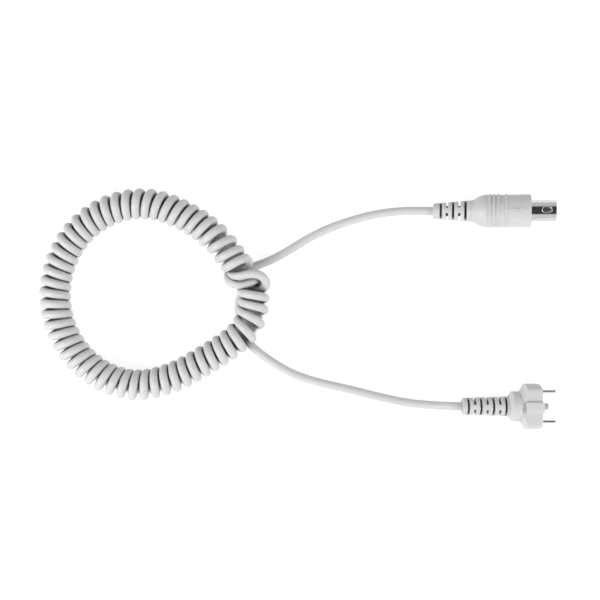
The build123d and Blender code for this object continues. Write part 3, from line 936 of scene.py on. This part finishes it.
@dataclass
class CurlyCord:
    """One cord from boot to boot: a lead on the table, the curl, and the other lead."""

    diameter: float = 5.2
    curl_d: float = 14.0
    wound: float = 1.05
    turns: int = 52
    points_per_turn: int = 14
    first_top: float = 2.2
    last_top: float = 344.3
    opening: float = 0.34
    openings: tuple[float, ...] = (21.5, 329.0)
    opening_reach: float = 8.5
    curl_start: tuple[float, float] = (-150.2, 12.3)
    start_within: float = 60.0
    table_gap: float = 0.02
    length: float = 2.81

    din_lead = [(-27.8, 62.81, 6.44), (-37.4, 62.94, 4.64), (-46.5, 63.3, 2.75), (-56, 63.3, 2.6),
                (-67, 62.3, 2.6), (-79.5, 59.9, 2.6), (-94.6, 55.5, 2.6), (-106, 51.1, 2.6),
                (-117.2, 45.3, 2.6), (-130, 37.2, 2.6), (-139.9, 32.0, 2.6), (-149, 28.6, 2.6),
                (-157.0, 26.6, 2.6), (-162.0, 25.4, 3.6), (-165.0, 24.2, 8.0)]
    first_loop = [(-163.6, 23.6, 12.4), (-161.2, 22.0, 16.4), (-156.3, 22.3, 18.9),
                  (-150.2, 23.6, 20.0), (-144.4, 22.4, 19.0), (-141.3, 18.2, 15.8),
                  (-142.6, 15.0, 12.0), (-147.0, 13.4, 8.6), (-153.0, 13.4, 7.0),
                  (-158.2, 12.8, 8.6)]
    last_loop = [(-152.2, 29.6, 9.8), (-156.6, 27.2, 8.0), (-162.2, 25.6, 7.6),
                 (-165.8, 23.4, 8.8), (-165.8, 20.2, 11.8), (-162.4, 17.2, 13.8),
                 (-157.0, 16.4, 14.4), (-151.6, 18.2, 13.8), (-147.0, 20.4, 12.0),
                 (-146.2, 19.8, 8.0), (-149.6, 16.8, 4.4), (-156.0, 13.0, 2.8)]
    motor_lead = [(-159.5, 7.5, 2.6), (-159.8, -1.5, 2.6), (-157.8, -12, 2.6), (-152.6, -20.5, 2.6),
                  (-145, -27.2, 2.6), (-136.1, -33.2, 2.6), (-126.5, -38.8, 2.6), (-115, -43, 2.6),
                  (-104, -45.8, 2.6), (-92, -48.5, 2.6), (-79, -51.7, 2.6), (-65.6, -55.0, 2.6),
                  (-52, -57.6, 2.6), (-44, -58.4, 3.0), (-35, -58.8, 4.7), (-27.5, -58.8, 8.4),
                  (-20.2, -58.8, 9.3), (-7.1, -58.8, 9.3)]
    axis = [(-149.6, 20.0, 13.6), (-148.9, 4.0, 9.6), (-153.0, -9.0, 9.6), (-163.0, -19.5, 9.6),
            (-181.0, -30.8, 9.6), (-200.0, -41.6, 9.6), (-222.7, -46.9, 9.6),
            (-244.2, -40.8, 9.6), (-261.2, -26.4, 9.6), (-271.6, -6.9, 9.6),
            (-274.0, 15.0, 9.6), (-268.2, 36.6, 9.6), (-255.0, 54.4, 9.6),
            (-235.5, 65.6, 9.6), (-213.4, 67.8, 9.6), (-193.0, 60.2, 9.6), (-174.3, 47.9, 12.0),
            (-163.2, 33.8, 14.4), (-156.0, 24.0, 15.2)]

    @staticmethod
    def spline(name: str, points: Sequence[Sequence[float]], resolution: int) -> Piece:
        """A smooth open curve with listed or worked-out control points in millimetres."""
        curve = bpy.data.curves.new(name, "CURVE")
        curve.dimensions = "3D"
        line = curve.splines.new("NURBS")
        line.points.add(len(points) - 1)
        for target, point in zip(line.points, points):
            target.co = (point[0] * MM, point[1] * MM, point[2] * MM, 1.0)
        line.order_u = 3
        line.use_endpoint_u = True
        line.resolution_u = resolution
        return add(name, curve)

    def axis_line(self) -> np.ndarray:
        """The curl's axis as close points in millimetres, read from its smooth curve."""
        guide = self.spline("curl_axis", self.axis, 48)
        mesh = Shaper.evaluated(guide)
        line = np.array([vertex.co for vertex in mesh.vertices], float) / MM
        bpy.data.objects.remove(guide)
        bpy.data.meshes.remove(mesh)
        return line

    def tops(self, length: float) -> Radius:
        """Where along the axis a count of turns has got to, with the curl opened in two places."""
        s = np.linspace(-30.0, length + 30.0, 6000)
        pitch = np.ones_like(s)
        for middle in self.openings:
            pitch += self.opening * np.exp(-((s - middle) / self.opening_reach) ** 2)
        count = np.concatenate([[0.0], np.cumsum(np.diff(s) / pitch[:-1])])
        low, high = np.interp([self.first_top, self.last_top], s, count)
        turns = (count - low) / (high - low) * self.turns
        return lambda turn: float(np.interp(turn, turns, s))

    def curl(self) -> list[Point]:
        """Control points of the curl, from the inner side of its first turn to its last's outer."""
        line = self.axis_line()
        steps = np.linalg.norm(np.diff(line, axis=0), axis=1)
        along = np.concatenate([[0.0], np.cumsum(steps)])
        first_part = line[along <= self.start_within, :2]
        start = float(along[np.argmin(np.linalg.norm(first_part - self.curl_start, axis=1))])
        reach = self.tops(float(along[-1]) - start)
        radius = self.curl_d / 2 / math.cos(math.pi / self.points_per_turn)
        lowest = self.diameter / 2 * self.wound + self.table_gap
        up = np.array([0.0, 0.0, 1.0])
        points = []
        total = int((self.turns + 0.5) * self.points_per_turn)
        for step in range(total + 1):
            turn = -0.25 + step / self.points_per_turn
            phase = math.pi / 2 - 2 * math.pi * turn
            s = reach(turn) + start
            back, here, ahead = (np.array([np.interp(at, along, line[:, k]) for k in range(3)])
                                 for at in (s - 1.0, s, s + 1.0))
            run = ahead - back
            side = np.array([-run[1], run[0], 0.0])
            side /= np.linalg.norm(side)
            spot = here + radius * (math.cos(phase) * side + math.sin(phase) * up)
            points.append((float(spot[0]), float(spot[1]), max(float(spot[2]), lowest)))
        return points

    def build(self) -> Piece:
        points = (self.din_lead + self.first_loop + self.curl() + self.last_loop
                  + self.motor_lead)
        cord = self.spline("curly_cord", points, 5)
        for number in range(len(self.din_lead) + 3, len(points) - len(self.motor_lead) - 3):
            cord.data.splines[0].points[number].radius = self.wound
        cord.data.bevel_depth = self.diameter / 2 * MM
        cord.data.bevel_resolution = 6
        cord.data.use_fill_caps = True
        Finish.JACKET.dress(cord)
        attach(cord, "cord")
        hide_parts("din_lead", "coil", "motor_lead")
        Finish.JACKET.dress_nodes("din_cord_end", "motor_cord_end")
        Finish.CORE_DARK.dress_nodes("din_core_1", "motor_core_1")
        Finish.CORE_LIGHT.dress_nodes("din_core_2", "motor_core_2")
        return cord


# Studio

@dataclass
class Softbox:
    """One large soft lamp."""

    name: str
    place: Point
    size: tuple[float, float]
    power: float

    def build(self, target: Vector) -> None:
        """Hang the lamp and turn it to the target."""
        lamp = bpy.data.lights.new(self.name, "AREA")
        lamp.shape = "RECTANGLE"
        lamp.size, lamp.size_y = self.size
        lamp.energy = self.power
        hung = add(self.name, lamp)
        hung.location = self.place
        hung.rotation_euler = (target - Vector(self.place)).to_track_quat("-Z", "Y").to_euler()


@dataclass
class Studio:
    """A pale table between two softboxes, seen from above; all sizes are in metres."""

    floor_half: float = 1.6
    floor_grey: float = 0.3
    floor_glow: float = 0.82
    # Half-width of the painted shadow band under the curl's axis.
    painted_shadow_half: float = 0.0053
    cell: float = 0.0016
    margin: float = 0.012
    eye: Point = (0.0012, 0.0057, 0.56)
    lens: float = 53.16
    wall: float = 0.85
    ceiling: float = 0.06
    wall_top: tuple[float, float] = (0.68, 0.78)
    tilt: float = -0.12
    lamps: tuple[Softbox, ...] = (
        Softbox("left_softbox", (-0.9, -0.35, 0.75), (0.8, 0.8), 14.0),
        Softbox("right_softbox", (0.9, -0.35, 0.75), (0.8, 0.8), 11.0),
    )

    def build(self, box: tuple[Vector, Vector]) -> None:
        """Lay the table, hang the lamps and aim the camera at the box's middle."""
        middle = (box[0] + box[1]) / 2
        target = Vector((middle.x, middle.y, 0.0))
        self.table(target)
        self.world()
        for lamp in self.lamps:
            lamp.build(target)
        lens = bpy.data.cameras.new("camera")
        lens.sensor_width = 36.0
        lens.lens = self.lens
        lens.clip_start = 0.01
        camera = add("camera", lens)
        camera.location = target + Vector(self.eye)
        bpy.context.scene.camera = camera
        bpy.context.scene.view_settings.view_transform = "Standard"

    def table(self, target: Vector) -> None:
        """The plain table top, which glows evenly except in a band under the curl's axis, where the
        glow is left out as a painted shadow.
        """
        half = self.floor_half
        path = CurlyCord().axis_line()[::6, :2] * MM
        low, high = path.min(axis=0) - self.margin, path.max(axis=0) + self.margin
        across, along = (np.concatenate([[centre - half], np.arange(start, stop, self.cell),
                                         [centre + half]])
                         for centre, start, stop in zip(target[:2], low, high))
        points = [(x, y, 0.0) for y in along for x in across]
        row = len(across)
        faces = [(n, n + 1, n + row + 1, n + row) for line in range(len(along) - 1)
                 for n in range(line * row, line * row + row - 1)]
        data = bpy.data.meshes.new("table_top")
        data.from_pydata(points, [], faces)
        # Points near the curl's axis get no glow: a painted shadow under the curl.
        gaps = [float(np.min(np.hypot(path[:, 0] - x, path[:, 1] - y))) for x, y, _ in points]
        layer = data.attributes.new("glow_outside_painted_shadow", "FLOAT", "POINT")
        unclipped_glow_outside_shadow = (np.array(gaps) - self.painted_shadow_half) / self.cell
        layer.data.foreach_set("value", np.clip(unclipped_glow_outside_shadow, 0.0, 1.0))
        top = add("table_top", data)
        board = Board("table_white")
        grey = self.floor_grey
        glow_outside_painted_shadow = board.node("Attribute", {"attribute_name": "glow_outside_painted_shadow"}, {}, "Fac")
        board.set(Base_Color=(grey, grey, grey, 1.0), Roughness=0.9, Specular_IOR_Level=0.1,
                  Emission_Color=board.tint(glow_outside_painted_shadow, (0.0, 0.0, 0.0), (1.0, 1.0, 1.0)),
                  Emission_Strength=self.floor_glow)
        data.materials.append(board.material)
        top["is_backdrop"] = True

    def world(self) -> None:
        """A tent with pale walls, a little brighter towards -Y, and a dark opening overhead."""
        world = bpy.data.worlds.new("tent")
        world.use_nodes = True
        tree = world.node_tree
        where = tree.nodes.new("ShaderNodeTexCoord")
        parts = tree.nodes.new("ShaderNodeSeparateXYZ")
        tree.links.new(where.outputs["Generated"], parts.inputs["Vector"])
        rise = tree.nodes.new("ShaderNodeMapRange")
        rise.interpolation_type = "SMOOTHSTEP"
        for entry, value in zip(("From Min", "From Max", "To Min", "To Max"),
                                (*self.wall_top, self.wall, self.ceiling)):
            rise.inputs[entry].default_value = value
        tree.links.new(parts.outputs["Z"], rise.inputs["Value"])
        lean = tree.nodes.new("ShaderNodeMath")
        lean.operation = "MULTIPLY_ADD"
        lean.inputs[1].default_value, lean.inputs[2].default_value = self.tilt, 1.0
        tree.links.new(parts.outputs["Y"], lean.inputs[0])
        both = tree.nodes.new("ShaderNodeMath")
        both.operation = "MULTIPLY"
        tree.links.new(rise.outputs["Result"], both.inputs[0])
        tree.links.new(lean.outputs["Value"], both.inputs[1])
        tree.nodes["Background"].inputs["Color"].default_value = (1.0, 1.0, 1.0, 1.0)
        tree.links.new(both.outputs["Value"], tree.nodes["Background"].inputs["Strength"])
        bpy.context.scene.world = world


def plain_box() -> tuple[Vector, Vector]:
    """The object's box as two corners."""
    low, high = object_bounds()
    return Vector(low), Vector(high)


def main() -> None:
    """Build the cord set and its studio."""
    logging.basicConfig(level=logging.INFO, format="%(name)s: %(message)s")
    solid_box = plain_box()
    din, motor = DinPlug(), MotorPlug()
    cord = CurlyCord().build()
    log.info("cord %s with %d control points", cord.name, len(cord.data.splines[0].points))
    boots = [
        Boot("din_strain_relief", din.seat, tail_d=9.6, neck_d=13.3, length=din.boot_length,
             first_slot=4.75, slot_pitch=3.78, slot_count=5, node="din_boot", body="din_plug"),
        Boot("motor_strain_relief", motor.seat, tail_d=10.5, neck_d=12.3, length=motor.boot_length,
             first_slot=3.4, slot_pitch=3.86, slot_count=7, node="motor_boot", body="motor_plug"),
    ]
    pieces = [boot.build() for boot in boots] + din.build() + motor.build()
    for piece in pieces:
        log.info("piece %s with %d points", piece.name, len(piece.data.vertices))
    Studio().build(solid_box)


if __name__ == "__main__":
    main()
